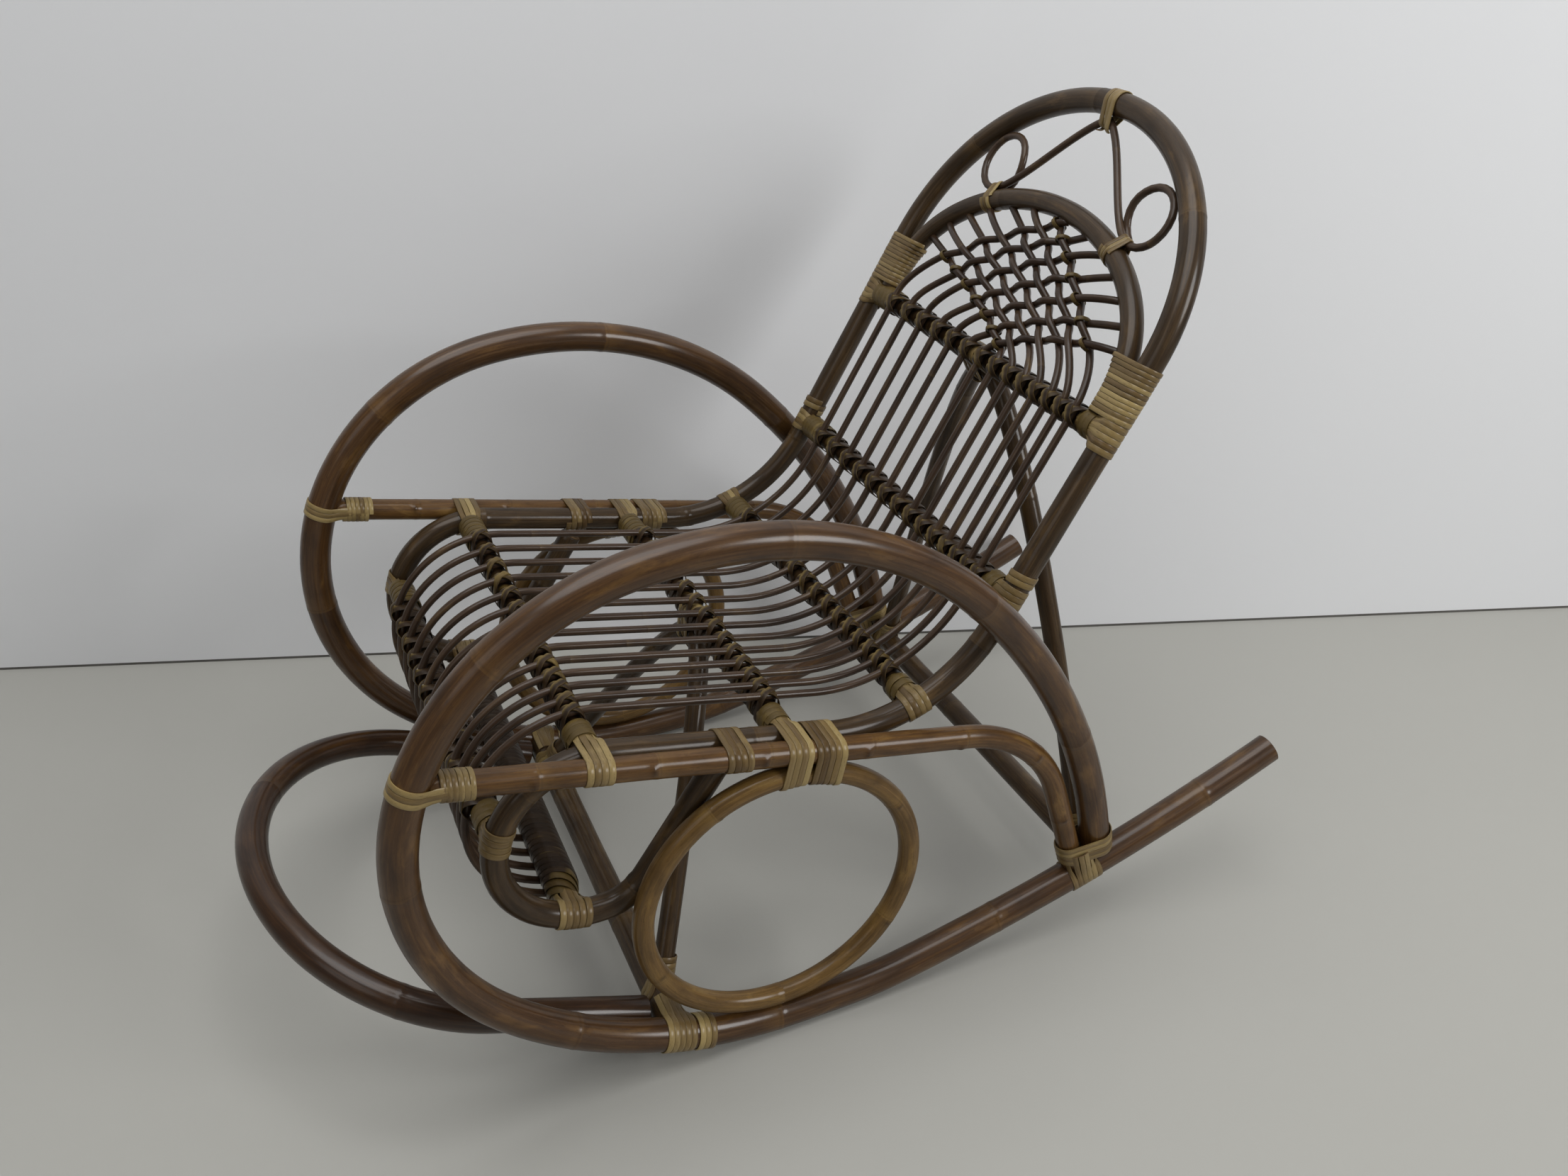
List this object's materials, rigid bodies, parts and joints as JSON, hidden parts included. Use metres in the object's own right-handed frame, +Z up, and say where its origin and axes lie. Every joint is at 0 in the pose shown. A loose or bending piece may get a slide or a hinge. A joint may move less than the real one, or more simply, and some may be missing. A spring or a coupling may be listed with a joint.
{
  "type": "rocking chair",
  "caption": "Child's rattan rocking chair with bent hoop arms that run into rockers, a rolled cane seat, an arched back with a looped ornament, a foot loop and peel bindings.",
  "frame": {"origin": "centre of the bounding box at floor level", "axes": "+Z up, the sitter faces -Y, +X is the sitter's left"},
  "size_m": [0.4296, 0.833, 0.6441],
  "materials": {
    "hoop_pole": "varnished rattan pole, warm brown, glossy",
    "rail_pole": "varnished rattan pole, orange brown",
    "ring_pole": "varnished rattan pole, honey brown",
    "frame_pole": "varnished rattan pole, dark grey brown",
    "brace_pole": "varnished rattan pole, mid brown",
    "cane": "thin rattan cane, dark grey brown, satin",
    "peel": "flat rattan peel strip, pale olive tan, satin"
  },
  "bodies": {
    "root": {"hoop_left": "hoop_pole", "hoop_right": "hoop_pole", "foot_loop": "hoop_pole", "seat_rail_left": "rail_pole", "seat_rail_right": "rail_pole", "side_ring_left": "ring_pole", "side_ring_right": "ring_pole", "seat_back_frame": "frame_pole", "inner_arch": "frame_pole", "bar_nose": "frame_pole", "bar_scroll": "frame_pole", "bar_seat_front": "frame_pole", "bar_seat_middle": "frame_pole", "bar_seat_rear": "frame_pole", "bar_back_lower": "frame_pole", "bar_back_upper": "frame_pole", "front_stretcher": "brace_pole", "rear_stretcher": "brace_pole", "seat_brace": "brace_pole", "back_brace": "brace_pole", "loop_ornament": "cane", "cane_01": "cane", "cane_02": "cane", "cane_03": "cane", "cane_04": "cane", "cane_05": "cane", "cane_06": "cane", "cane_07": "cane", "cane_08": "cane", "cane_09": "cane", "cane_10": "cane", "cane_11": "cane", "cane_12": "cane", "cane_13": "cane", "cane_14": "cane", "binding_rail_front_left": "peel", "binding_rail_front_right": "peel", "binding_seat_front_left": "peel", "binding_seat_front_right": "peel", "binding_seat_tie_left": "peel", "binding_seat_tie_right": "peel", "binding_seat_middle_left": "peel", "binding_seat_middle_right": "peel", "binding_seat_rear_left": "peel", "binding_seat_rear_right": "peel", "binding_scroll_left": "peel", "binding_scroll_right": "peel", "binding_back_lower_left": "peel", "binding_back_lower_right": "peel", "binding_arch_foot_left": "peel", "binding_arch_foot_right": "peel", "binding_rear_foot_left": "peel", "binding_rear_foot_right": "peel", "binding_front_foot_left": "peel", "binding_front_foot_right": "peel", "binding_ornament_left": "peel", "binding_ornament_right": "peel", "binding_ornament_top": "peel", "strap_rail_front_left": "peel", "strap_rail_front_right": "peel"}
  },
  "joints": []
}
